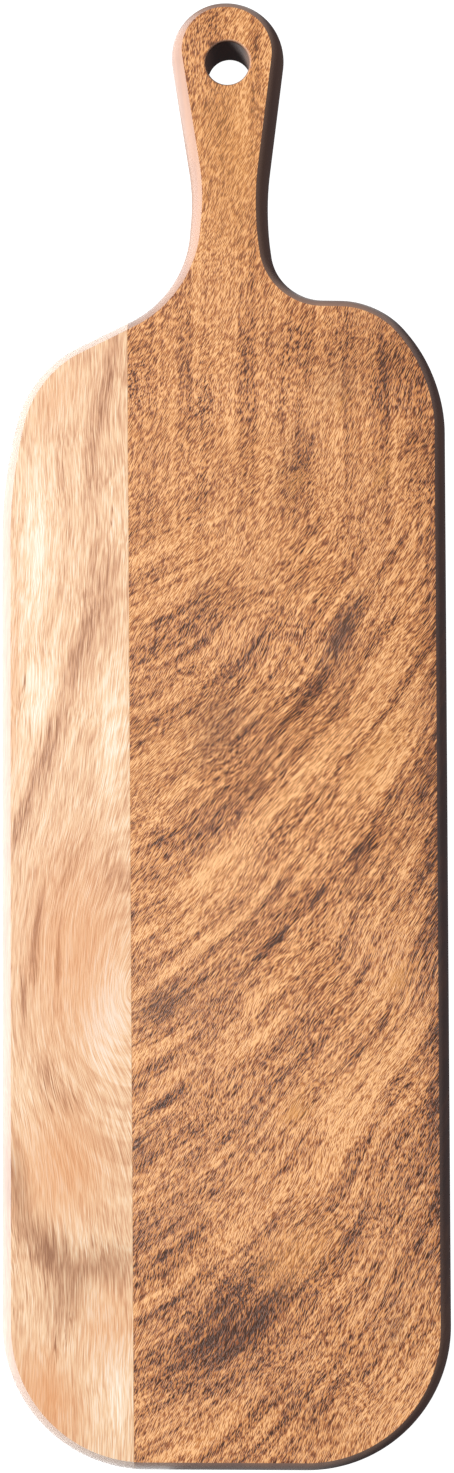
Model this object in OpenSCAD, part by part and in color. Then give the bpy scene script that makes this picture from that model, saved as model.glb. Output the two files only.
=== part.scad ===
// Paddle charcuterie board: two acacia staves glued edge to edge, with a handle cut in the wide one.
// Millimetres. +Y runs towards the handle, +Z is up, and the origin is under the middle of the board.

/* [Board] */
// Length over all, handle included
board_len = 508; // [420:1:600]
// Width of the body
body_w = 154; // [140:1:200]
// Thickness of both staves
board_t = 18; // [13:0.5:26]
// How far the rounded sides stand out past the rims of both faces
edge_bulge = 4; // [1:0.1:6]

/* [Bottom corners] */
// Radius of the two corners opposite the handle
bottom_corner_r = 49.5; // [15:0.5:60]

/* [Handle] */
// From the centre line to the right side of the handle's head
head_right_out = 24.5; // [20:0.5:30]
// Radius of the head's right corner
head_right_r = 20; // [12:0.5:26]
// From the centre line to the left side of the handle's head
head_left_out = 20.5; // [17:0.5:26]
// Radius of the head's left corner
head_left_r = 18.5; // [12:0.5:24]
// From the centre line to the right side of the waist
right_waist_out = 15; // [12:0.5:18]
// From the handle's end down to the right side of the waist
right_waist_drop = 74; // [60:0.5:85]
// Radius of the hollow on the right side of the waist
right_waist_r = 109; // [40:1:150]
// From the centre line to the left side of the waist
left_waist_out = 10; // [8:0.5:13]
// From the handle's end down to the left side of the waist
left_waist_drop = 67.5; // [55:0.5:80]
// Radius of the hollow on the left side of the waist
left_waist_r = 72; // [40:1:110]

/* [Right shoulder] */
// From the centre line to the inner corner where the handle meets the right shoulder
right_neck_out = 19.5; // [16:0.5:26]
// From the handle's end down to that inner corner
right_neck_drop = 104.5; // [95:0.5:120]
// Radius of that inner corner
right_neck_r = 18.5; // [8:0.5:24]
// From the right side in to the shoulder's upper turn
right_top_in = 22; // [14:0.5:30]
// From the handle's end down to the shoulder's upper turn
right_top_drop = 105.5; // [100:0.5:118]
// Radius of the shoulder's upper turn
right_top_r = 31; // [10:0.5:40]
// From the handle's end down to where the shoulder meets the right side
right_side_drop = 132.5; // [122:0.5:160]
// Radius of the turn into the right side
right_side_r = 56; // [20:1:90]

/* [Left shoulder] */
// From the centre line to the inner corner where the handle meets the left shoulder
left_neck_out = 13; // [11:0.5:18]
// From the handle's end down to that inner corner
left_neck_drop = 102.5; // [92:0.5:114]
// Radius of that inner corner
left_neck_r = 37.5; // [10:0.5:50]
// From the left side in to the shoulder's turn
left_top_in = 9.5; // [6:0.5:16]
// From the handle's end down to the shoulder's turn
left_top_drop = 128.5; // [120:0.5:145]
// Radius of the shoulder's turn
left_top_r = 41; // [10:0.5:60]
// From the handle's end down to where the shoulder meets the left side
left_side_drop = 168; // [155:0.5:200]
// Radius of the turn into the left side
left_side_r = 171; // [40:1:220]

/* [Hanging hole] */
// Diameter of the hole through the handle
hole_d = 15; // [8:0.5:20]
// From the handle's end down to the hole's centre
hole_drop = 23.5; // [17:0.5:30]
// From the centre line right to the hole's centre
hole_out = 2.5; // [0:0.5:4]
// Radius of the eased rim at both mouths of the hole
hole_rim_r = 1; // [0.5:0.25:2]

/* [Edge joint] */
// Width of the light stave at the middle of the board's length
light_stave_w = 45; // [25:0.5:54]
// Degrees that the joint turns away from the board's length
joint_skew = 0.21; // [-0.6:0.01:0.6]
// Thickness of the dried glue film in the joint
glue_t = 0.15; // [0.1:0.05:0.5]

/* [Hidden] */

half_w = body_w / 2;
far_end = board_len / 2;

// How far a cut runs past the wood
overrun = 2;
// Degrees between neighbouring points on a curve of the outline
outline_step = 5;
// Facets across each half of the rounded sides, across the hole's rim, and all round the hole
edge_facets = 6;
rim_facets = 4;
hole_facets = 72;

// The sharp corners of the outline: x, y and the radius that turns each one. They run anticlockwise
// from above, up the right side and down the left, so the first and the last are each other's mates.
corners = [
    [half_w, -far_end, bottom_corner_r],
    [half_w, far_end - right_side_drop, right_side_r],
    [half_w - right_top_in, far_end - right_top_drop, right_top_r],
    [right_neck_out, far_end - right_neck_drop, right_neck_r],
    [right_waist_out, far_end - right_waist_drop, right_waist_r],
    [head_right_out, far_end, head_right_r],
    [-head_left_out, far_end, head_left_r],
    [-left_waist_out, far_end - left_waist_drop, left_waist_r],
    [-left_neck_out, far_end - left_neck_drop, left_neck_r],
    [left_top_in - half_w, far_end - left_top_drop, left_top_r],
    [-half_w, far_end - left_side_drop, left_side_r],
    [-half_w, -far_end, bottom_corner_r]
];
count = len(corners);

// Corner i counts on round the outline, so the one after the last is the first
function corner(i) = corners[(i + count) % count];
function place(i) = [corner(i)[0], corner(i)[1]];
function unit(v) = v / norm(v);
function heading(i) = unit(place(i + 1) - place(i));
function side_len(i) = norm(place(i + 1) - place(i));

// Degrees turned at corner i, positive where the outline bulges and negative where it is hollow
function turn(i) = atan2(cross(heading(i - 1), heading(i)), heading(i - 1) * heading(i));
function swell(i) = sign(turn(i));

// Length of side that corner i's curve takes up, drawn in where two neighbours would overlap
function wanted_run(i) = corner(i)[2] * tan(abs(turn(i)) / 2);
function fit_share(i) = min(1, side_len(i) / (wanted_run(i) + wanted_run(i + 1)));
function curve_run(i) = wanted_run(i) * min(fit_share(i - 1), fit_share(i));
function curve_r(i) = curve_run(i) / tan(abs(turn(i)) / 2);

// Centre of corner i's curve, on the wood's side of a bulge and outside a hollow
function curve_centre(i) = place(i) + unit(heading(i) - heading(i - 1)) * curve_r(i) / cos(turn(i) / 2);

// Direction out of the wood at a point of corner i's curve, for a share of its turn from 0 to 1
function out_angle(i, turned_share) =
    atan2(heading(i - 1)[1], heading(i - 1)[0]) - 90 + turn(i) * turned_share;

// A corner and its mate across the centre line have as many points as each other
function steps(i) = max(2, ceil(max(abs(turn(i)), abs(turn(count - 1 - i))) / outline_step));

// The outline drawn in by one distance all round, as points
function outline(inset) = [
    for (i = [0 : count - 1])
        for (k = [0 : steps(i)])
            let (a = out_angle(i, k / steps(i)))
                curve_centre(i) + (swell(i) * curve_r(i) - inset) * [cos(a), sin(a)]
];

// The sides are one shallow arc from rim to rim: its radius, and the degrees it turns through in each half
half_t = board_t / 2;
edge_r = (half_t * half_t + edge_bulge * edge_bulge) / (2 * edge_bulge);
half_arc = asin(half_t / edge_r);

// Inset and height of each ring of the blank, from the lower rim to the upper one
levels = [
    for (j = [-edge_facets : edge_facets])
        let (a = half_arc * j / edge_facets)
            [edge_r * (1 - cos(a)), half_t + edge_r * sin(a)]
];

// The whole board as one glued and shaped blank, before it is told apart into staves
module blank() {
    rings = [for (level = levels) [for (p = outline(level[0])) [p[0], p[1], level[1]]]];
    ring_len = len(rings[0]);
    top = (len(rings) - 1) * ring_len;
    sides = [
        for (lower = [0 : ring_len : top - ring_len])
            for (i = [0 : ring_len - 1])
                let (upper = lower + ring_len, next = (i + 1) % ring_len)
                    [lower + i, upper + i, upper + next, lower + next]
    ];

    // Both flat faces are ladders, whose rungs join each point on the right to its mate on the left
    rungs = [0 : ring_len / 2 - 2];
    under_face = [for (j = rungs) [j, j + 1, ring_len - 2 - j, ring_len - 1 - j]];
    top_face = [for (j = rungs) [top + ring_len - 1 - j, top + ring_len - 2 - j, top + j + 1, top + j]];
    polyhedron(points = [for (ring = rings) each ring], faces = concat(under_face, top_face, sides),
        convexity = 6);
}

// The part of the blank that lies between two distances from the joint's middle, left to right
module between(from, to) {
    intersection() {
        blank();
        translate([light_stave_w - half_w, 0, 0])
            rotate([0, 0, joint_skew])
                translate([from, -board_len, -overrun])
                    cube([to - from, 2 * board_len, board_t + 2 * overrun]);
    }
}

// Half section of the hanging hole, from its axis out to the wall and the two eased rims
module hole_section() {
    hole_r = hole_d / 2;
    mouth_r = hole_r + hole_rim_r;
    rim = [for (j = [0 : rim_facets]) 90 * j / rim_facets];
    lower_rim = [for (a = rim) [mouth_r - hole_rim_r * sin(a), hole_rim_r * (1 - cos(a))]];
    upper_rim = [for (a = rim) [mouth_r - hole_rim_r * cos(a), board_t - hole_rim_r * (1 - sin(a))]];
    polygon(concat(
        [[0, -overrun], [mouth_r, -overrun]],
        lower_rim,
        upper_rim,
        [[mouth_r, board_t + overrun], [0, board_t + overrun]]
    ));
}

// The narrow sapwood stave on the left
module light_stave() {
    color("#ecd2ac")
        between(-body_w, -glue_t / 2);
}

// The wide heartwood stave on the right, with the handle and its hanging hole
module dark_stave() {
    color("#b98a5c")
        difference() {
            between(glue_t / 2, 2 * body_w);
            translate([hole_out, far_end - hole_drop, 0])
                rotate_extrude($fn = hole_facets)
                    hole_section();
        }
}

// The film of dried glue that holds the staves edge to edge
module glue_line() {
    color("#c39a6b")
        between(-glue_t / 2, glue_t / 2);
}

light_stave();
dark_stave();
glue_line();
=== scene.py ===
"""Paddle charcuterie board in two acacia staves, glued edge to edge, on a plain pale floor.

Metres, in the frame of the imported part: +Y runs towards the handle, +Z is up.
"""

import math

import bpy
from mathutils import Matrix, Vector


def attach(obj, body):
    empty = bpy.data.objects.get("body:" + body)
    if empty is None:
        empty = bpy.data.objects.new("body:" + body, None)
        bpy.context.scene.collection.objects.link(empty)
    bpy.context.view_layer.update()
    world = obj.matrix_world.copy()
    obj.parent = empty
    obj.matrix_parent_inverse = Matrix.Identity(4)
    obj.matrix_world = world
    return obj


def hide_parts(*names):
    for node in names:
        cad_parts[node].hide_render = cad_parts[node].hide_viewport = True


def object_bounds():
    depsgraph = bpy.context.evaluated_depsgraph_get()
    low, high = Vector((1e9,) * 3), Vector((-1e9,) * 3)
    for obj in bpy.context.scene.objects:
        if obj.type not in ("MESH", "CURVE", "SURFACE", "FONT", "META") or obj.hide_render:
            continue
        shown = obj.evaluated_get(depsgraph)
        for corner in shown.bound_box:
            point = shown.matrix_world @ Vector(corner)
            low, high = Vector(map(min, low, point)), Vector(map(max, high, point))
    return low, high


bl_info = {
    "name": "Paddle charcuterie board",
    "version": (1, 0, 0),
    "blender": (4, 5, 0),
    "location": "3D View > Sidebar > Board",
    "description": "Saws, rounds and glues up a two-stave serving board with a handle",
    "category": "Add Mesh",
}

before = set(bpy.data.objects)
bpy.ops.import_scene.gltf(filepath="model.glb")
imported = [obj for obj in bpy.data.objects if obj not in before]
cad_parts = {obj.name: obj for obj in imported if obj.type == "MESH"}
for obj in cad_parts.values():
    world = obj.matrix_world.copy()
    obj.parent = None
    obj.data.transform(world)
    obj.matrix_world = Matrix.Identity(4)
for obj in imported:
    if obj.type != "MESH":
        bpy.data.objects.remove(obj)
FRAME_LOW, FRAME_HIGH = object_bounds()

MM = 0.001
TINY = 1e-6


def corner(name, out, drop, radius):
    """A corner of the outline before it is rounded, in millimetres."""
    return bpy.props.FloatVectorProperty(
        name=name,
        description="Out from the centre line, down from the handle's end, and the radius",
        size=3,
        default=(out * MM, drop * MM, radius * MM),
        unit="LENGTH",
    )


def size(name, description, value):
    """A length of the board, in metres."""
    return bpy.props.FloatProperty(name=name, description=description, default=value, unit="LENGTH")


def finish_colour(name, description, hex_value):
    """A colour of a finish, from its sRGB hex value."""
    return bpy.props.FloatVectorProperty(
        name=name,
        description=description,
        size=3,
        default=linear(hex_value),
        min=0.0,
        max=1.0,
        subtype="COLOR",
    )


def linear(hex_value):
    """The linear colour of an sRGB hex value such as "d9a066"."""
    shares = [int(hex_value[i:i + 2], 16) / 255 for i in (0, 2, 4)]
    return tuple(s / 12.92 if s <= 0.04045 else ((s + 0.055) / 1.055) ** 2.4 for s in shares)


class BoardSizes(bpy.types.PropertyGroup):
    """Sizes of the blank and of its outline"""

    length: size("Length", "Over all, handle included", FRAME_HIGH.y - FRAME_LOW.y)
    width: size("Width", "Across the body", FRAME_HIGH.x - FRAME_LOW.x)
    thickness: size("Thickness", "Of both staves", FRAME_HIGH.z - FRAME_LOW.z)
    edge_bulge: size("Edge bulge", "How far the rounded sides stand out past both rims", 4 * MM)

    bottom: corner("Bottom corners", 77, 508, 49.5)
    right_side: corner("Right side", 77, 132.5, 56)
    right_top: corner("Right shoulder", 55, 105.5, 31)
    right_neck: corner("Right neck", 19.5, 104.5, 18.5)
    right_waist: corner("Right waist", 15, 74, 109)
    head_right: corner("Head, right", 24.5, 0, 20)
    head_left: corner("Head, left", 20.5, 0, 18.5)
    left_waist: corner("Left waist", 10, 67.5, 72)
    left_neck: corner("Left neck", 13, 102.5, 37.5)
    left_top: corner("Left shoulder", 67.5, 128.5, 41)
    left_side: corner("Left side", 77, 168, 171)

    hole_width: size("Hole", "Diameter of the hanging hole", 15 * MM)
    hole_drop: size("Hole drop", "From the handle's end to the hole's centre", 23.5 * MM)
    hole_out: size("Hole out", "Right of the centre line", 2.5 * MM)
    hole_rim: size("Hole rim", "Radius of the eased rim at both mouths", 1 * MM)

    light_width: size("Light stave", "Width at the middle of the length", 45 * MM)
    joint_skew: bpy.props.FloatProperty(
        name="Joint skew",
        description="Turn of the joint away from the board's length",
        default=math.radians(0.21),
        subtype="ANGLE",
    )
    glue: size("Glue", "Thickness of the dried film", 0.15 * MM)


class BoardFinish(bpy.types.PropertyGroup):
    """Colours of the oiled wood"""

    sap_pale: finish_colour("Sapwood, pale", "Clearest wood", "fff0dc")
    sap_cream: finish_colour("Sapwood, cream", "Most of the stave", "f3cda4")
    sap_tan: finish_colour("Sapwood, tan", "Darker growth rings", "dca982")
    sap_brown: finish_colour("Sapwood, brown", "Streaks near the heart", "a06c4c")
    sap_orange: finish_colour("Sapwood, orange", "Round the eye", "e09a63")
    sap_grey: finish_colour("Sapwood, grey", "Stain across the foot", "95694c")
    # A pale tone for the rounded sides that stands in for the light they reflect: a painted sheen
    sap_painted_sheen: finish_colour("Sapwood, sides", "Sanded along the fibres", "d4c6bf")
    heart_pale: finish_colour("Heartwood, pale", "Lightest fibres", "fdc286")
    heart_tan: finish_colour("Heartwood, tan", "Most of the stave", "d08a4e")
    heart_brown: finish_colour("Heartwood, brown", "Flames", "9a5b37")
    # Also the colour of the painted shade on the hanging hole's wall
    heart_dark: finish_colour("Heartwood, dark", "Pores and darkest flames", "4a2a17")
    heart_plum: finish_colour("Heartwood, plum", "Greyish figure", "76523e")
    heart_gold: finish_colour("Heartwood, gold", "Yellowish figure", "dc9a55")
    # A pale tone for the rounded sides that stands in for the light they reflect: a painted sheen
    heart_painted_sheen: finish_colour("Heartwood, sides", "Sanded along the fibres", "c6aca1")
    glue: finish_colour("Glue", "Dried glue in the joint", "d9ae80")
    glue_dark: finish_colour("Glue, dark", "Specks of dust in the glue", "b98a5c")


def sizes():
    return bpy.context.scene.board_sizes


def finish():
    return bpy.context.scene.board_finish


# Modelling


def add_object(primitive, name, **settings):
    """Adds a primitive with nothing else selected, and names it."""
    bpy.ops.object.select_all(action="DESELECT")
    primitive(**settings)
    piece = bpy.context.active_object
    piece.name = name
    piece.data.name = name
    return piece


def edit(piece):
    """Opens a piece in edit mode."""
    bpy.ops.object.select_all(action="DESELECT")
    piece.select_set(True)
    bpy.context.view_layer.objects.active = piece
    bpy.ops.object.mode_set(mode="EDIT")


def choose(piece, test):
    """In edit mode, selects the edges for whose two ends test is true."""
    bpy.ops.mesh.select_mode(type="EDGE")
    bpy.ops.mesh.select_all(action="DESELECT")
    bpy.ops.object.mode_set(mode="OBJECT")
    places = [vertex.co for vertex in piece.data.vertices]
    for edge in piece.data.edges:
        edge.select = test(*(places[i] for i in edge.vertices))
    bpy.ops.object.mode_set(mode="EDIT")


def choose_vertex(piece, place):
    """In edit mode, selects the vertex that lies over or under a place."""
    bpy.ops.mesh.select_mode(type="VERT")
    bpy.ops.mesh.select_all(action="DESELECT")
    bpy.ops.object.mode_set(mode="OBJECT")
    for vertex in piece.data.vertices:
        vertex.select = (vertex.co.xy - place.xy).length < TINY
    bpy.ops.object.mode_set(mode="EDIT")


def close_edit():
    bpy.ops.object.mode_set(mode="OBJECT")


def sharp_corners():
    """Place and radius of each corner of the outline, anticlockwise from the bottom right."""
    s = sizes()
    end = s.length / 2
    right = (s.bottom, s.right_side, s.right_top, s.right_neck, s.right_waist, s.head_right)
    left = (s.head_left, s.left_waist, s.left_neck, s.left_top, s.left_side, s.bottom)
    return [
        (Vector((side * out, end - drop, 0)), radius)
        for side, row in ((1, right), (-1, left))
        for out, drop, radius in row
    ]


def corner_curves():
    """For each corner: place, turn in radians, and the length of side that its curve takes up."""
    corners = sharp_corners()
    count = len(corners)
    turns, runs, lengths = [], [], []
    for i, (place, radius) in enumerate(corners):
        before = place - corners[i - 1][0]
        after = corners[(i + 1) % count][0] - place
        turns.append(before.angle(after))
        runs.append(radius * math.tan(turns[i] / 2))
        lengths.append(after.length)
    fit = [min(1, lengths[i] / (runs[i] + runs[(i + 1) % count])) for i in range(count)]
    return [
        (corners[i][0], turns[i], runs[i] * min(fit[i - 1], fit[i]))
        for i in range(count)
    ]


def round_profile(turn):
    """Bevel profile whose curve is nearest to a circle's arc, for a corner of that turn."""
    return (1 - 1 / (4 * math.cos(turn / 4) ** 2)) ** 2


# The most turn between points of the outline, the steps up half of a side and round a rim, the
# facets of the hole, and the angle from which an edge stays sharp
OUTLINE_STEP = math.radians(1.5)
EDGE_STEPS = 10
RIM_STEPS = 6
HOLE_SIDES = 144
ARRIS_ANGLE = math.radians(14)


def saw_blank():
    """The whole board as one blank: outline sawn, and the sides rounded in one shallow arc."""
    s = sizes()
    curves = corner_curves()
    half = s.thickness / 2
    blank = add_object(
        bpy.ops.mesh.primitive_circle_add,
        "blank",
        vertices=len(curves),
        radius=s.length / 2,
        fill_type="NGON",
        location=(0, 0, half),
    )
    bpy.ops.object.transform_apply(location=True)
    for vertex, (place, _, _) in zip(blank.data.vertices, curves):
        vertex.co.x, vertex.co.y = place.x, place.y

    edit(blank)
    for place, turn, run in curves:
        choose_vertex(blank, place)
        bpy.ops.mesh.bevel(
            affect="VERTICES",
            offset=run,
            segments=max(2, math.ceil(turn / OUTLINE_STEP)),
            profile=round_profile(turn),
            clamp_overlap=False,
        )

    # The upper half rises from the outline in steps, and the lower half is its mirror image
    radius = (half ** 2 + s.edge_bulge ** 2) / (2 * s.edge_bulge)
    slopes = [math.asin(half / radius) * step / EDGE_STEPS for step in range(EDGE_STEPS + 1)]
    bpy.ops.mesh.select_mode(type="FACE")
    bpy.ops.mesh.select_all(action="SELECT")
    for low, high in zip(slopes, slopes[1:]):
        bpy.ops.mesh.inset(
            thickness=radius * (math.cos(low) - math.cos(high)),
            depth=radius * (math.sin(high) - math.sin(low)),
        )
    bpy.ops.mesh.select_all(action="SELECT")
    bpy.ops.mesh.duplicate()
    bpy.ops.transform.resize(value=(1, 1, -1), center_override=(0, 0, half))
    bpy.ops.mesh.select_all(action="SELECT")
    bpy.ops.mesh.remove_doubles(threshold=TINY)
    bpy.ops.mesh.normals_make_consistent(inside=False)
    close_edit()
    return blank


def rip(stave, name, low, high):
    """Saws a blank down to the strip between two distances from the joint; None leaves a side be."""
    s = sizes()
    stave.name = name
    stave.data.name = name
    across = Vector((math.cos(s.joint_skew), math.sin(s.joint_skew), 0))
    middle = Vector((s.light_width - s.width / 2, 0, 0))
    edit(stave)
    for distance, clear in ((low, "clear_inner"), (high, "clear_outer")):
        if distance is None:
            continue
        bpy.ops.mesh.select_all(action="SELECT")
        bpy.ops.mesh.bisect(
            plane_co=middle + across * distance,
            plane_no=across,
            use_fill=True,
            **{clear: True},
        )
    close_edit()
    return stave


def bore_hanging_hole(stave):
    """Bores the hole through the handle and eases its rim at both mouths."""
    s = sizes()
    centre = Vector((s.hole_out, s.length / 2 - s.hole_drop, s.thickness / 2))
    bit = add_object(
        bpy.ops.mesh.primitive_cylinder_add,
        "bit",
        vertices=HOLE_SIDES,
        radius=s.hole_width / 2,
        depth=2 * s.thickness,
        location=centre,
    )
    bpy.ops.object.select_all(action="DESELECT")
    stave.select_set(True)
    bpy.context.view_layer.objects.active = stave
    cut = stave.modifiers.new("bore", "BOOLEAN")
    cut.operation = "DIFFERENCE"
    cut.solver = "EXACT"
    cut.object = bit
    bpy.ops.object.modifier_apply(modifier=cut.name)
    bpy.data.objects.remove(bit)

    def on_mouth(*ends):
        level = abs(ends[0].z - ends[1].z) < TINY
        return level and all(
            abs((end.xy - centre.xy).length - s.hole_width / 2) < 10 * TINY for end in ends
        )

    edit(stave)
    choose(stave, on_mouth)
    bpy.ops.mesh.bevel(
        affect="EDGES",
        offset=s.hole_rim,
        segments=RIM_STEPS,
        profile=0.5,
        clamp_overlap=False,
    )
    close_edit()


def sand(piece, node, material):
    """Smooths a piece between its arrises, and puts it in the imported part's place and finish."""
    edit(piece)
    bpy.ops.mesh.select_all(action="SELECT")
    bpy.ops.mesh.remove_doubles(threshold=TINY)
    bpy.ops.mesh.normals_make_consistent(inside=False)
    close_edit()
    bpy.ops.object.shade_smooth_by_angle(angle=ARRIS_ANGLE)
    level = piece.modifiers.new("level", "WEIGHTED_NORMAL")
    level.keep_sharp = True
    bpy.ops.object.modifier_apply(modifier=level.name)
    piece.data.materials.clear()
    piece.data.materials.append(material)
    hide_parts(node)
    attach(piece, "root")


# Finishes

# A noise's middle value, which leaves the tone as it is
MIDDLE = 0.5

# Marks run through the whole thickness of the wood: their half depth in millimetres
MARK_DEPTH = 1000

# How squarely a surface faces up or down where it stops being a side and starts being a face, and
# how far the colour of the sides is drawn towards a pale one, as a painted sheen
SIDE_FACING = 0.75
FACE_FACING = 0.95
SIDE_PAINTED_SHEEN = 0.65

# How far the ends, with their darker end grain, and the hole's wall, as painted shade in the hole, are
# drawn towards the darkest colour, and the millimetres of the hole's rim over which that fades
END_DARKNESS = 0.85
HOLE_PAINTED_SHADE = 0.5
HOLE_SHADE_FADE = 0.6


def add(tree, kind, inputs=None, stops=(), **settings):
    """Adds a node with its settings; inputs are given by name or place, as values, nodes or sockets."""
    made = tree.nodes.new(kind)
    for name, value in settings.items():
        setattr(made, name, value)
    sockets = [socket for socket in made.inputs if socket.enabled]
    for key, given in (inputs or {}).items():
        socket = sockets[key] if isinstance(key, int) else next(s for s in sockets if s.name == key)
        if isinstance(given, bpy.types.Node):
            given = next(s for s in given.outputs if s.enabled)
        if isinstance(given, bpy.types.NodeSocket):
            tree.links.new(given, socket)
        else:
            socket.default_value = given
    for count, (position, colour) in enumerate(stops):
        elements = made.color_ramp.elements
        stop = elements[count] if count < 2 else elements.new(1.0)
        stop.position = position
        stop.color = (*colour, 1)
    return made


def new_material(name):
    """An empty material and its node tree."""
    material = bpy.data.materials.new(name)
    material.use_nodes = True
    material.node_tree.nodes.clear()
    return material, material.node_tree


def board_mm(tree):
    """Places on the board, in millimetres."""
    place = add(tree, "ShaderNodeTexCoord").outputs["Object"]
    return add(tree, "ShaderNodeVectorMath", {0: place, "Scale": 1 / MM}, operation="SCALE")


def sway(tree, place, reach, drift):
    """Places moved about by a slow noise with features of size reach, by up to about drift."""
    noise = add(tree, "ShaderNodeTexNoise", {"Vector": place, "Scale": 1 / reach, "Detail": 1.0})

    # The noise seldom strays more than a quarter from its middle value
    centred = add(
        tree,
        "ShaderNodeVectorMath",
        {0: noise.outputs["Color"], 1: (MIDDLE, MIDDLE, MIDDLE)},
        operation="SUBTRACT",
    )
    moved = add(tree, "ShaderNodeVectorMath", {0: centred, "Scale": 4 * drift}, operation="SCALE")
    return add(tree, "ShaderNodeVectorMath", {0: place, 1: moved}, operation="ADD")


def frayed(tree, place, grain, heading, reach):
    """Places slid along a heading, each fibre by its own share of reach, so that marks end in wisps."""
    threads = grain_noise(tree, grain, across=1.1, along=60)
    slide = add(
        tree,
        "ShaderNodeMath",
        {0: threads, 1: reach, 2: -reach * MIDDLE},
        operation="MULTIPLY_ADD",
    )
    moved = add(tree, "ShaderNodeVectorMath", {0: heading, "Scale": slide}, operation="SCALE")
    return add(tree, "ShaderNodeVectorMath", {0: place, 1: moved}, operation="ADD")


def crisp(tree, noise, softness):
    """A noise whose middle values are spread out to 0 and 1, over a range of that softness."""
    return add(
        tree,
        "ShaderNodeMapRange",
        {"Value": noise, "From Min": MIDDLE - softness, "From Max": MIDDLE + softness},
        interpolation_type="SMOOTHSTEP",
    )


def grain_noise(tree, grain, across, along, detail=2.0):
    """Noise drawn out along the grain, with cells of that width and length in millimetres."""
    stretched = add(
        tree,
        "ShaderNodeMapping",
        {"Vector": grain, "Scale": (1 / across, 1 / along, 1 / across)},
    )
    return add(tree, "ShaderNodeTexNoise", {"Vector": stretched, "Scale": 1.0, "Detail": detail})


def mark_figure(tree, place, marks):
    """Sum of soft oval marks, each as written in the tables of the grain."""
    total = 0.0
    for x, y, half_width, half_length, lean, strength in marks:
        oval = add(
            tree,
            "ShaderNodeMapping",
            {
                "Vector": place,
                "Location": (x, y, 0),
                "Rotation": (0, 0, -math.radians(lean)),
                "Scale": (half_width, half_length, MARK_DEPTH),
            },
            vector_type="TEXTURE",
        )
        out = add(tree, "ShaderNodeVectorMath", {0: oval}, operation="LENGTH").outputs["Value"]
        soft = add(
            tree,
            "ShaderNodeMapRange",
            {"Value": out, "From Min": 1.0, "From Max": 0.0, "To Min": 0.0, "To Max": strength},
            interpolation_type="SMOOTHSTEP",
        )
        total = add(tree, "ShaderNodeMath", {0: soft, 1: total}, operation="ADD")
    return total


def weigh(tree, base, *parts):
    """A base tone plus each noise, taken from its middle value and times its weight."""
    total = base
    for noise, weight in parts:
        centred = add(
            tree,
            "ShaderNodeMath",
            {0: noise, 1: weight, 2: -weight * MIDDLE},
            operation="MULTIPLY_ADD",
        )
        total = add(tree, "ShaderNodeMath", {0: total, 1: centred}, operation="ADD")
    return total


def stain(tree, base, colour, place, marks):
    """The base colour drawn towards another at the marks."""
    return add(
        tree,
        "ShaderNodeMix",
        {"Factor": mark_figure(tree, place, marks), "A": base, "B": (*colour, 1)},
        data_type="RGBA",
    )


def oiled_surface(tree, colour, height, relief):
    """Sanded wood under a wiped-on drying oil: satin, with the oil's IOR, a faint sheen from the
    raised fibres, and fibres that stand up by relief, in metres."""
    bump = add(tree, "ShaderNodeBump", {"Strength": 1.0, "Distance": relief, "Height": height})
    shader = add(
        tree,
        "ShaderNodeBsdfPrincipled",
        {
            "Base Color": colour,
            "Roughness": 0.45,
            "IOR": 1.48,
            "Normal": bump,
            "Sheen Weight": 0.3,
            "Sheen Roughness": 0.4,
        },
    )
    add(tree, "ShaderNodeOutputMaterial", {"Surface": shader})


def glue_material():
    """Dried wood glue, sanded flush with the wood: a waxy, pale amber film."""
    f = finish()
    material, tree = new_material("dried_glue")
    specks = grain_noise(tree, board_mm(tree), across=2, along=2)
    tone = add(tree, "ShaderNodeValToRGB", {0: specks}, stops=((0.3, f.glue_dark), (0.7, f.glue)))
    shader = add(tree, "ShaderNodeBsdfPrincipled", {"Base Color": tone, "Roughness": 0.5, "IOR": 1.48})
    add(tree, "ShaderNodeOutputMaterial", {"Surface": shader})
    return material


# Marks of the grain are written as x, y, half width and half length in millimetres, lean in degrees
# and strength

HEART_TONES = (
    (-6, 116, 1.6, 34, -1, -0.3),
    (-10, 72, 1.8, 14, 4, -0.2),
    (-30, 121, 3.5, 20, 0, -0.22),
    (60, 122, 17, 26, -10, -0.22),
    (70, 85, 9, 40, -4, -0.16),
    (20, 110, 4, 14, 8, -0.2),
    (27, 90, 8, 20, 12, -0.22),
    (64, 97, 3.5, 10, 30, -0.22),
    (59, 59, 2.5, 11, 30, -0.3),
    (42, 34, 6, 21, 27, -0.5),
    (31, 13, 5, 13, 38, -0.35),
    (43, 5, 8, 22, 42, -0.14),
    (51, -7, 1.8, 6, 38, -0.38),
    (48, -42, 4.5, 11, 38, -0.45),
    (69, -22, 4, 12, 30, -0.2),
    (0, -2, 13, 18, 20, -0.14),
    (31, -60, 2.6, 9, 42, -0.45),
    (17, -74, 3.2, 11, 48, -0.45),
    (-6, -84, 1.6, 8, 72, -0.3),
    (-22, -95, 12, 15, 60, -0.28),
    (55, -99, 1.8, 7, 35, -0.35),
    (44, -113, 1.8, 8, 38, -0.32),
    (-20, -128, 2.2, 12, 66, -0.38),
    (-28, -140, 3, 6, 20, -0.4),
    (14, -144, 4, 6, 40, -0.15),
    (27, -192, 9, 38, 52, -0.13),
    (4, -208, 36, 36, 0, -0.36),
    (43, -173, 3.5, 10, 45, -0.3),
    (-20, -228, 9, 14, 30, -0.1),
    (78, -60, 17, 200, 0, -0.45),
    (28, 130, 26, 16, 0, -0.2),
    (12, 55, 14, 30, 10, 0.12),
    (48, 14, 3, 16, 42, 0.18),
    (55, -17, 5, 18, 42, 0.18),
    (30, -46, 5, 18, 45, 0.14),
    (-5, -48, 20, 22, 60, 0.12),
    (10, -107, 10, 14, 60, 0.1),
)
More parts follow.
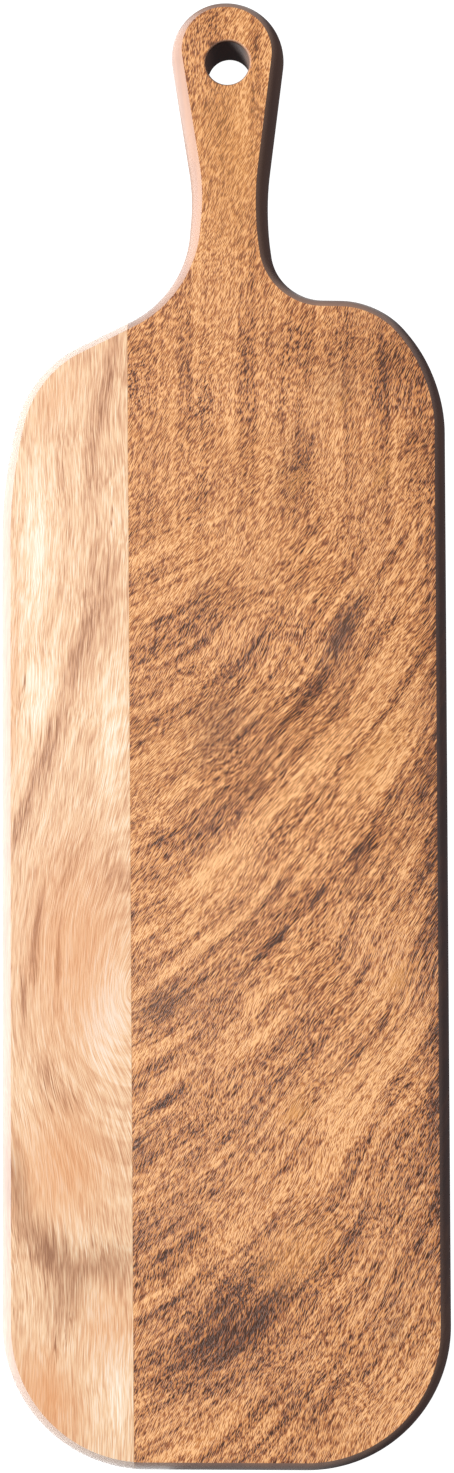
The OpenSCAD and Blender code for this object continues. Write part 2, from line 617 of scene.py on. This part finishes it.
HEART_PLUM = (
    (41, 32, 7, 24, 27, 0.4),
    (-2, 0, 14, 22, 25, 0.3),
    (-8, 45, 5, 14, 5, 0.2),
    (-22, -95, 9, 18, 65, 0.3),
    (-28, -140, 4, 9, 20, 0.3),
    (24, 92, 8, 22, 15, 0.15),
    (40, 118, 12, 12, 20, 0.2),
    (58, -204, 7, 9, 30, 0.3),
)
HEART_GOLD = (
    (5, 200, 20, 60, 0, 0.35),
    (42, 112, 3, 4, 0, 0.6),
    (26, 85, 3, 5, 0, 0.5),
    (54, 85, 3, 8, 35, 0.5),
    (60, -86, 5, 9, 35, 0.8),
    (25, -130, 8, 6, -40, 0.7),
    (52, -10, 6, 24, 42, 0.3),
    (24, -180, 14, 24, 45, 0.3),
)

# The tone of the plain wood, from 0, darkest, to 1, palest, and how strongly the marks change it
HEART_TONE = 0.54
HEART_MARK_SHARE = 1.2

# The fibres lean to the right by a share of the way up, and more about a place below the middle
LEAN_SHARE = 0.40
EXTRA_LEAN_SHARE = 0.42
EXTRA_LEAN_Y = -20
EXTRA_LEAN_REACH = 75

# The flames rise from the joint in a curve: where it starts, its slope there, how fast that grows to
# the right, and the heading along which marks fray
FLAME_X = -25
FLAME_SLOPE = 0.55
FLAME_CURVE = 0.006
FLAME_HEADING = (0.64, 0.77, 0)

# Places up the board between which straight stripes take over from the flames
FLAMES_FADE = 30.0
FLAMES_END = 110.0


def heartwood():
    """Acacia heartwood, sanded and oiled: golden brown, with dark flames rising from the joint and
    short slanted dashes, where tools cut the interlocked fibres and their open pores."""
    f = finish()
    material, tree = new_material("acacia_heartwood")
    place = board_mm(tree)
    bent = sway(tree, place, reach=50, drift=3)
    grain = leaning_grain(tree, bent)
    flow = flame_grain(tree, bent)

    # The real pores are 0.1 to 0.2 mm wide; these are drawn as wide as they must be to show
    dashes = crisp(tree, grain_noise(tree, grain, across=0.34, along=2.2, detail=1.0), softness=0.17)
    clumps = crisp(tree, grain_noise(tree, grain, across=2.0, along=6), softness=0.3)
    bands = crisp(tree, grain_noise(tree, flow, across=12, along=150), softness=0.22)
    flames = crisp(tree, grain_noise(tree, flow, across=3.5, along=60), softness=0.25)
    streaks = crisp(tree, grain_noise(tree, flow, across=1.2, along=25), softness=0.25)
    stripes = crisp(tree, grain_noise(tree, place, across=4, along=90, detail=3.0), softness=0.3)

    # The flames fade out below the shoulders, and straight stripes take their place in the handle
    apart = add(tree, "ShaderNodeSeparateXYZ", {0: place})
    upper = add(
        tree,
        "ShaderNodeMapRange",
        {"Value": apart.outputs["Y"], "From Min": FLAMES_FADE, "From Max": FLAMES_END},
        interpolation_type="SMOOTHSTEP",
    )
    figure = []
    for below, above in ((bands, MIDDLE), (flames, stripes), (streaks, MIDDLE)):
        figure.append(add(tree, "ShaderNodeMix", {"Factor": upper, "A": below, "B": above}))
    bands, flames, streaks = figure

    # The rounded sides are cut along the fibres and show no dashes
    faces = faces_share(tree)
    dashes, clumps, streaks = (
        add(tree, "ShaderNodeMix", {"Factor": faces, "A": MIDDLE, "B": noise})
        for noise in (dashes, clumps, streaks)
    )

    wisps = frayed(tree, place, flow, FLAME_HEADING, reach=28)
    marks = mark_figure(tree, wisps, HEART_TONES)
    base = add(
        tree,
        "ShaderNodeMath",
        {0: marks, 1: HEART_MARK_SHARE, 2: HEART_TONE},
        operation="MULTIPLY_ADD",
    )
    parts = ((bands, 0.32), (flames, 0.38), (streaks, 0.26), (clumps, 0.16), (dashes, 0.7))
    tone = weigh(tree, base, *parts)
    stops = ((0.0, f.heart_dark), (0.28, f.heart_brown), (0.55, f.heart_tan), (1.0, f.heart_pale))
    colour = add(tree, "ShaderNodeValToRGB", {0: tone}, stops=stops)
    colour = stain(tree, colour, f.heart_plum, wisps, HEART_PLUM)
    colour = stain(tree, colour, f.heart_gold, wisps, HEART_GOLD)
    # Painted sheen on the rounded sides
    colour = paint_sheen_on_sides(tree, colour, faces, f.heart_painted_sheen)
    # Darker end grain, and painted shade on the wall of the hanging hole
    colour = darken_end_grain_and_paint_hole_shade(tree, colour, place)
    oiled_surface(tree, colour, dashes, relief=0.07 * MM)
    return material


def faces_share(tree):
    """1 on the two flat faces of the board and 0 on its rounded sides, from the way they face."""
    normal = add(tree, "ShaderNodeTexCoord").outputs["Normal"]
    apart = add(tree, "ShaderNodeSeparateXYZ", {0: normal})
    up = add(tree, "ShaderNodeMath", {0: apart.outputs["Z"]}, operation="ABSOLUTE")
    return add(
        tree,
        "ShaderNodeMapRange",
        {"Value": up, "From Min": SIDE_FACING, "From Max": FACE_FACING},
    )


def paint_sheen_on_sides(tree, colour, faces, sheen_colour):
    """Painted sheen: the colour drawn towards a paler one on the rounded sides, standing in for the
    light that they reflect.
    """
    sides = add(
        tree,
        "ShaderNodeMath",
        {0: faces, 1: -SIDE_PAINTED_SHEEN, 2: SIDE_PAINTED_SHEEN},
        operation="MULTIPLY_ADD",
    )
    inputs = {"Factor": sides, "A": colour, "B": (*sheen_colour, 1)}
    return add(tree, "ShaderNodeMix", inputs, data_type="RGBA")


def darken_end_grain_and_paint_hole_shade(tree, colour, place):
    """Cut across, the fibres soak up more oil: the ends of the board come out darker than the faces.
    The wall of the hanging hole is darkened most of all, as painted shade in the hole."""
    s = sizes()
    normal = add(tree, "ShaderNodeTexCoord").outputs["Normal"]
    apart = add(tree, "ShaderNodeSeparateXYZ", {0: normal})
    ends = add(tree, "ShaderNodeMath", {0: apart.outputs["Y"], 1: 2.0}, operation="POWER")
    centre = Vector((s.hole_out, s.length / 2 - s.hole_drop, 0)) / MM
    from_hole = add(tree, "ShaderNodeVectorMath", {0: place, 1: centre}, operation="SUBTRACT")
    flat = add(tree, "ShaderNodeVectorMath", {0: from_hole, 1: (1, 1, 0)}, operation="MULTIPLY")
    out = add(tree, "ShaderNodeVectorMath", {0: flat}, operation="LENGTH").outputs["Value"]
    wall = s.hole_width / 2 / MM
    # Painted shade on the wall of the hanging hole, fading out over its rim
    painted_hole_shade = add(
        tree,
        "ShaderNodeMapRange",
        {"Value": out, "From Min": wall + HOLE_SHADE_FADE, "From Max": wall, "To Max": HOLE_PAINTED_SHADE},
    )
    share = add(
        tree,
        "ShaderNodeMath",
        {0: ends, 1: END_DARKNESS, 2: painted_hole_shade},
        operation="MULTIPLY_ADD",
    )
    inputs = {"Factor": share, "A": colour, "B": (*finish().heart_dark, 1)}
    return add(tree, "ShaderNodeMix", inputs, data_type="RGBA")


def leaning_grain(tree, place):
    """Places with X measured across the heartwood's fibres."""
    apart = add(tree, "ShaderNodeSeparateXYZ", {0: place})
    x, y, z = apart.outputs
    high = add(
        tree,
        "ShaderNodeMath",
        {0: y, 1: 1 / EXTRA_LEAN_REACH, 2: -EXTRA_LEAN_Y / EXTRA_LEAN_REACH},
        operation="MULTIPLY_ADD",
    )
    bend = add(tree, "ShaderNodeMath", {0: high}, operation="TANH")
    extra = EXTRA_LEAN_SHARE * EXTRA_LEAN_REACH
    partly = add(tree, "ShaderNodeMath", {0: bend, 1: -extra, 2: x}, operation="MULTIPLY_ADD")
    across = add(tree, "ShaderNodeMath", {0: y, 1: -LEAN_SHARE, 2: partly}, operation="MULTIPLY_ADD")
    return add(tree, "ShaderNodeCombineXYZ", {0: across, 1: y, 2: z})


def flame_grain(tree, place):
    """Places with X measured across the flames and Y along them."""
    apart = add(tree, "ShaderNodeSeparateXYZ", {0: place})
    x, y, z = apart.outputs
    out = add(tree, "ShaderNodeMath", {0: x, 1: FLAME_X}, operation="SUBTRACT")
    slope = add(
        tree,
        "ShaderNodeMath",
        {0: out, 1: FLAME_CURVE, 2: FLAME_SLOPE},
        operation="MULTIPLY_ADD",
    )
    rise = add(tree, "ShaderNodeMath", {0: out, 1: slope}, operation="MULTIPLY")
    across = add(tree, "ShaderNodeMath", {0: y, 1: rise}, operation="SUBTRACT")
    along = add(tree, "ShaderNodeMath", {0: x, 1: y}, operation="ADD")
    return add(tree, "ShaderNodeCombineXYZ", {0: across, 1: along, 2: z})


# The tone of the plain wood, from 0, darkest, to 1, palest, and how strongly the marks change it
SAP_TONE = 0.54
SAP_MARK_SHARE = 1.4

# The sapwood's growth rings close round an eye beside the joint: its place, how far above and below
# it they straighten out, and the square of how far out they lie there
EYE_X = -33.0
EYE_Y = -92.0
EYE_ABOVE = 92.0
EYE_BELOW = 54.0
EYE_SPREAD = 2000.0

# The fibres follow the rings only in part: how much the sideways distance from the eye counts
# besides, and the heading along which marks fray
PLAIN_SHARE = 1.2
SAP_HEADING = (0.1, 1, 0)

SAP_TONES = (
    (-65, 60, 9, 55, 2, 0.25),
    (-64, 11, 7, 24, 15, 0.25),
    (-39, -3, 8, 36, 5, 0.22),
    (-41, -100, 12, 28, 5, 0.3),
    (-38, -50, 13, 9, -20, -0.25),
    (-36, -223, 8, 25, 0, 0.15),
    (-42, 45, 9, 34, 10, -0.22),
    (-39, 120, 4.5, 26, 9, -0.2),
    (-43.5, 92, 5, 30, 9, -0.17),
    (-51, 22, 6, 26, 15, -0.22),
    (-61, -8, 5, 26, 21, -0.28),
    (-70, -33, 5, 18, 14, -0.3),
    (-53, -47, 5, 18, 30, -0.2),
    (-64, -74, 3, 24, 8, -0.4),
    (-57, -80, 1.6, 26, 6, -0.3),
    (-69, -92, 2, 20, 0, -0.3),
    (-60.5, -121, 4, 14, -15, -0.22),
    (-53, -129, 10, 6, 0, -0.15),
    (-72, -158, 6, 22, -12, -0.25),
    (-62, -178, 9, 16, -30, -0.3),
    (-48, -184, 18, 12, 0, -0.25),
    (-54, -199, 9, 15, 0, -0.12),
    (-57.7, -213, 1.4, 5, 0, -0.4),
    (-53, -205, 1.2, 4, 45, -0.3),
    (-68.5, 12, 1.1, 5, 8, -0.4),
    (-54.3, 87, 0.7, 8, 2, -0.5),
    (-37.5, 76, 0.7, 3.5, 10, -0.4),
)
SAP_GREY = (
    (-71, -155, 6, 24, -14, 0.4),
    (-62, -175, 10, 16, -35, 0.35),
    (-52, -183, 15, 16, -75, 0.3),
    (-38, -181, 12, 14, -90, 0.3),
    (-54, -197, 13, 16, 0, 0.2),
)
SAP_ORANGE = (
    (-50, -78, 30, 66, 0, 0.55),
    (-56, -150, 28, 30, 0, 0.6),
    (-61, -228, 18, 28, -30, 0.7),
    (-40, -205, 16, 26, 0, 0.4),
    (-56, 115, 10, 22, 30, 0.3),
    (-71, 20, 3, 60, 2, 0.3),
)


def sapwood():
    """Acacia sapwood, sanded and oiled: cream, with thin dark hairs along the grain and with growth
    rings that close in an eye beside the joint."""
    f = finish()
    material, tree = new_material("acacia_sapwood")
    place = board_mm(tree)
    bent = sway(tree, place, reach=40, drift=1.5)
    rings, grain = ringed_grain(tree, bent)
    growth = crisp(tree, grain_noise(tree, rings, across=1.5, along=300, detail=3.0), softness=0.2)

    # The fibres' own lines are finer than 0.2 mm; these are drawn as wide as they must be to show
    threads = crisp(tree, grain_noise(tree, grain, across=0.9, along=45), softness=0.28)
    hairs = crisp(tree, grain_noise(tree, grain, across=0.55, along=7), softness=0.22)

    wisps = frayed(tree, bent, grain, SAP_HEADING, reach=40)
    marks = mark_figure(tree, wisps, SAP_TONES)
    base = add(
        tree,
        "ShaderNodeMath",
        {0: marks, 1: SAP_MARK_SHARE, 2: SAP_TONE},
        operation="MULTIPLY_ADD",
    )
    tone = weigh(tree, base, (growth, 0.2), (threads, 0.24), (hairs, 0.42))
    stops = ((0.0, f.sap_brown), (0.35, f.sap_tan), (0.62, f.sap_cream), (1.0, f.sap_pale))
    colour = add(tree, "ShaderNodeValToRGB", {0: tone}, stops=stops)
    colour = stain(tree, colour, f.sap_orange, bent, SAP_ORANGE)
    short_wisps = frayed(tree, bent, grain, SAP_HEADING, reach=20)
    colour = stain(tree, colour, f.sap_grey, short_wisps, SAP_GREY)
    # Painted sheen on the rounded sides
    colour = paint_sheen_on_sides(tree, colour, faces_share(tree), f.sap_painted_sheen)
    oiled_surface(tree, colour, hairs, relief=0.04 * MM)
    return material


def ringed_grain(tree, place):
    """Two sets of places, with X measured out from the eye, and with X across the sapwood's fibres.
    The second's X grows 1.2 to 2.2 times as fast as the real distance."""
    apart = add(tree, "ShaderNodeSeparateXYZ", {0: place})
    x, y, z = apart.outputs
    dx = add(tree, "ShaderNodeMath", {0: x, 1: EYE_X}, operation="SUBTRACT")
    dy = add(tree, "ShaderNodeMath", {0: y, 1: EYE_Y}, operation="SUBTRACT")
    above = add(tree, "ShaderNodeMath", {0: dy, 1: 0.0}, operation="GREATER_THAN")
    reach = add(
        tree,
        "ShaderNodeMath",
        {0: above, 1: EYE_ABOVE - EYE_BELOW, 2: EYE_BELOW},
        operation="MULTIPLY_ADD",
    )
    share = add(tree, "ShaderNodeMath", {0: dy, 1: reach}, operation="DIVIDE")
    square = add(tree, "ShaderNodeMath", {0: share, 1: share}, operation="MULTIPLY")
    fall = add(tree, "ShaderNodeMath", {0: math.exp(-1), 1: square}, operation="POWER")
    rise = add(
        tree,
        "ShaderNodeMath",
        {0: fall, 1: -EYE_SPREAD, 2: EYE_SPREAD},
        operation="MULTIPLY_ADD",
    )
    total = add(tree, "ShaderNodeMath", {0: dx, 1: dx, 2: rise}, operation="MULTIPLY_ADD")
    out = add(tree, "ShaderNodeMath", {0: total}, operation="SQRT")
    across = add(tree, "ShaderNodeMath", {0: dx, 1: -PLAIN_SHARE, 2: out}, operation="MULTIPLY_ADD")
    rings = add(tree, "ShaderNodeCombineXYZ", {0: out, 1: y, 2: z})
    grain = add(tree, "ShaderNodeCombineXYZ", {0: across, 1: y, 2: z})
    return rings, grain


# Stage

FLOOR_SIZE = 60.0
FLOOR_DROP = 0.2 * MM
FLOOR_GLOW = 1.1

# The softbox stands to the left and a little towards the handle; powers are in watts
LAMP_DISTANCE = 3.5
LAMP_TURN = math.radians(15)
LAMP_RISE = math.radians(47)
LAMP_SIZE = 1.2
LAMP_POWER = 174

# The lit part of the table, which the rounded left side mirrors
TABLE_GLOW_PLACE = Vector((-0.52, 0, 0.0005))
TABLE_GLOW_SIZE = (1.0, 0.6)
TABLE_GLOW_POWER = 5

ROOM_COLOUR = (1.0, 0.92, 1.0)
ROOM_STRENGTH = 0.09


def lay_floor():
    """A white light table under the board, whose glow keeps out of the wood. It lies a hair below the
    wood and is clear from beneath, so that the underside can be looked at too."""
    floor = add_object(
        bpy.ops.mesh.primitive_plane_add,
        "floor",
        size=FLOOR_SIZE,
        location=(0, 0, -FLOOR_DROP),
    )
    material, tree = new_material("white_table")
    shader = add(
        tree,
        "ShaderNodeBsdfPrincipled",
        {
            "Base Color": (*linear("616161"), 1),
            "Roughness": 1.0,
            "Specular IOR Level": 0.0,
            "Emission Color": (*linear("ffffff"), 1),
            "Emission Strength": FLOOR_GLOW,
        },
    )
    beneath = add(tree, "ShaderNodeNewGeometry").outputs["Backfacing"]
    clear = add(tree, "ShaderNodeBsdfTransparent")
    one_sided = add(tree, "ShaderNodeMixShader", {0: beneath, 1: shader, 2: clear})
    add(tree, "ShaderNodeOutputMaterial", {"Surface": one_sided})
    floor.data.materials.append(material)
    floor.visible_diffuse = False
    floor.visible_glossy = False


def set_light():
    """A square softbox from the left and a dim room. The rounded left side also mirrors the lit part
    of the table, which therefore shines in the oil and nowhere else."""
    direction = Vector((
        -math.cos(LAMP_TURN) * math.cos(LAMP_RISE),
        math.sin(LAMP_TURN) * math.cos(LAMP_RISE),
        math.sin(LAMP_RISE),
    ))
    bpy.ops.object.light_add(type="AREA", location=direction * LAMP_DISTANCE)
    softbox = bpy.context.active_object
    softbox.name = "softbox"
    softbox.rotation_mode = "QUATERNION"
    softbox.rotation_quaternion = direction.to_track_quat("Z", "Y")
    softbox.data.size = LAMP_SIZE
    softbox.data.energy = LAMP_POWER

    bpy.ops.object.light_add(type="AREA", location=TABLE_GLOW_PLACE, rotation=(math.pi, 0, 0))
    glow = bpy.context.active_object
    glow.name = "lit_table"
    glow.visible_camera = False
    glow.visible_diffuse = False
    glow.data.shape = "RECTANGLE"
    glow.data.size, glow.data.size_y = TABLE_GLOW_SIZE
    glow.data.energy = TABLE_GLOW_POWER

    room = bpy.data.worlds.new("room")
    bpy.context.scene.world = room
    room.use_nodes = True
    background = room.node_tree.nodes["Background"]
    background.inputs["Color"].default_value = (*ROOM_COLOUR, 1)
    background.inputs["Strength"].default_value = ROOM_STRENGTH
    bpy.context.scene.view_settings.view_transform = "Standard"


# The picture's height in pixels, and the lens, shift and place that the board's perspective gives
PICTURE_HIGH = 1473
LENS_PIXELS = 2344.7
SHIFT_PIXELS = 150
SENSOR = 36.0
CAMERA_PLACE = Vector((33.4, -81.7, 818)) * MM
CAMERA_RIGHT = Vector((0.99918, -0.00375, -0.0403))
CAMERA_UP = Vector((0.00511, 0.99942, 0.03368))


def place_camera():
    """A camera over the board, a little right of and below its middle, as the photograph has it."""
    bpy.ops.object.camera_add()
    camera = bpy.context.active_object
    camera.name = "camera"
    right = CAMERA_RIGHT.normalized()
    back = right.cross(CAMERA_UP).normalized()
    up = back.cross(right)
    turned = Matrix((right, up, back)).transposed().to_4x4()
    camera.matrix_world = Matrix.Translation(CAMERA_PLACE) @ turned
    camera.data.sensor_fit = "VERTICAL"
    camera.data.sensor_height = SENSOR
    camera.data.sensor_width = SENSOR
    camera.data.lens = LENS_PIXELS / PICTURE_HIGH * SENSOR
    camera.data.shift_y = SHIFT_PIXELS / PICTURE_HIGH
    bpy.context.scene.camera = camera


# Operators


class BOARD_OT_light_stave(bpy.types.Operator):
    """Rips the narrow sapwood stave from the left of the blank"""

    bl_idname = "board.light_stave"
    bl_label = "Light stave"

    def execute(self, context):
        stave = rip(saw_blank(), "light_stave_wood", None, -sizes().glue / 2)
        sand(stave, "light_stave", sapwood())
        return {"FINISHED"}


class BOARD_OT_dark_stave(bpy.types.Operator):
    """Rips the wide heartwood stave from the right of the blank, and bores the hole in its handle"""

    bl_idname = "board.dark_stave"
    bl_label = "Dark stave"

    def execute(self, context):
        stave = rip(saw_blank(), "dark_stave_wood", sizes().glue / 2, None)
        bore_hanging_hole(stave)
        sand(stave, "dark_stave", heartwood())
        return {"FINISHED"}


class BOARD_OT_glue_line(bpy.types.Operator):
    """Cuts the film of glue between the staves from the same blank, so that it ends flush with them"""

    bl_idname = "board.glue_line"
    bl_label = "Glue line"

    def execute(self, context):
        film = rip(saw_blank(), "glue_line_film", -sizes().glue / 2, sizes().glue / 2)
        sand(film, "glue_line", glue_material())
        return {"FINISHED"}


class BOARD_OT_stage(bpy.types.Operator):
    """Lays the pale floor, sets the soft light and places the camera"""

    bl_idname = "board.stage"
    bl_label = "Floor, light and camera"

    def execute(self, context):
        lay_floor()
        set_light()
        place_camera()
        return {"FINISHED"}


class BOARD_PT_panel(bpy.types.Panel):
    """The board's steps, in order"""

    bl_label = "Board"
    bl_idname = "BOARD_PT_panel"
    bl_space_type = "VIEW_3D"
    bl_region_type = "UI"
    bl_category = "Board"

    def draw(self, context):
        for step in OPERATORS:
            self.layout.operator(step.bl_idname)


OPERATORS = (BOARD_OT_light_stave, BOARD_OT_dark_stave, BOARD_OT_glue_line, BOARD_OT_stage)
CLASSES = (BoardSizes, BoardFinish, *OPERATORS, BOARD_PT_panel)


def register():
    for cls in CLASSES:
        bpy.utils.register_class(cls)
    bpy.types.Scene.board_sizes = bpy.props.PointerProperty(type=BoardSizes)
    bpy.types.Scene.board_finish = bpy.props.PointerProperty(type=BoardFinish)


def unregister():
    del bpy.types.Scene.board_finish
    del bpy.types.Scene.board_sizes
    for cls in reversed(CLASSES):
        bpy.utils.unregister_class(cls)


def main():
    register()
    bpy.ops.board.light_stave()
    bpy.ops.board.dark_stave()
    bpy.ops.board.glue_line()
    bpy.ops.board.stage()


if __name__ == "__main__":
    main()
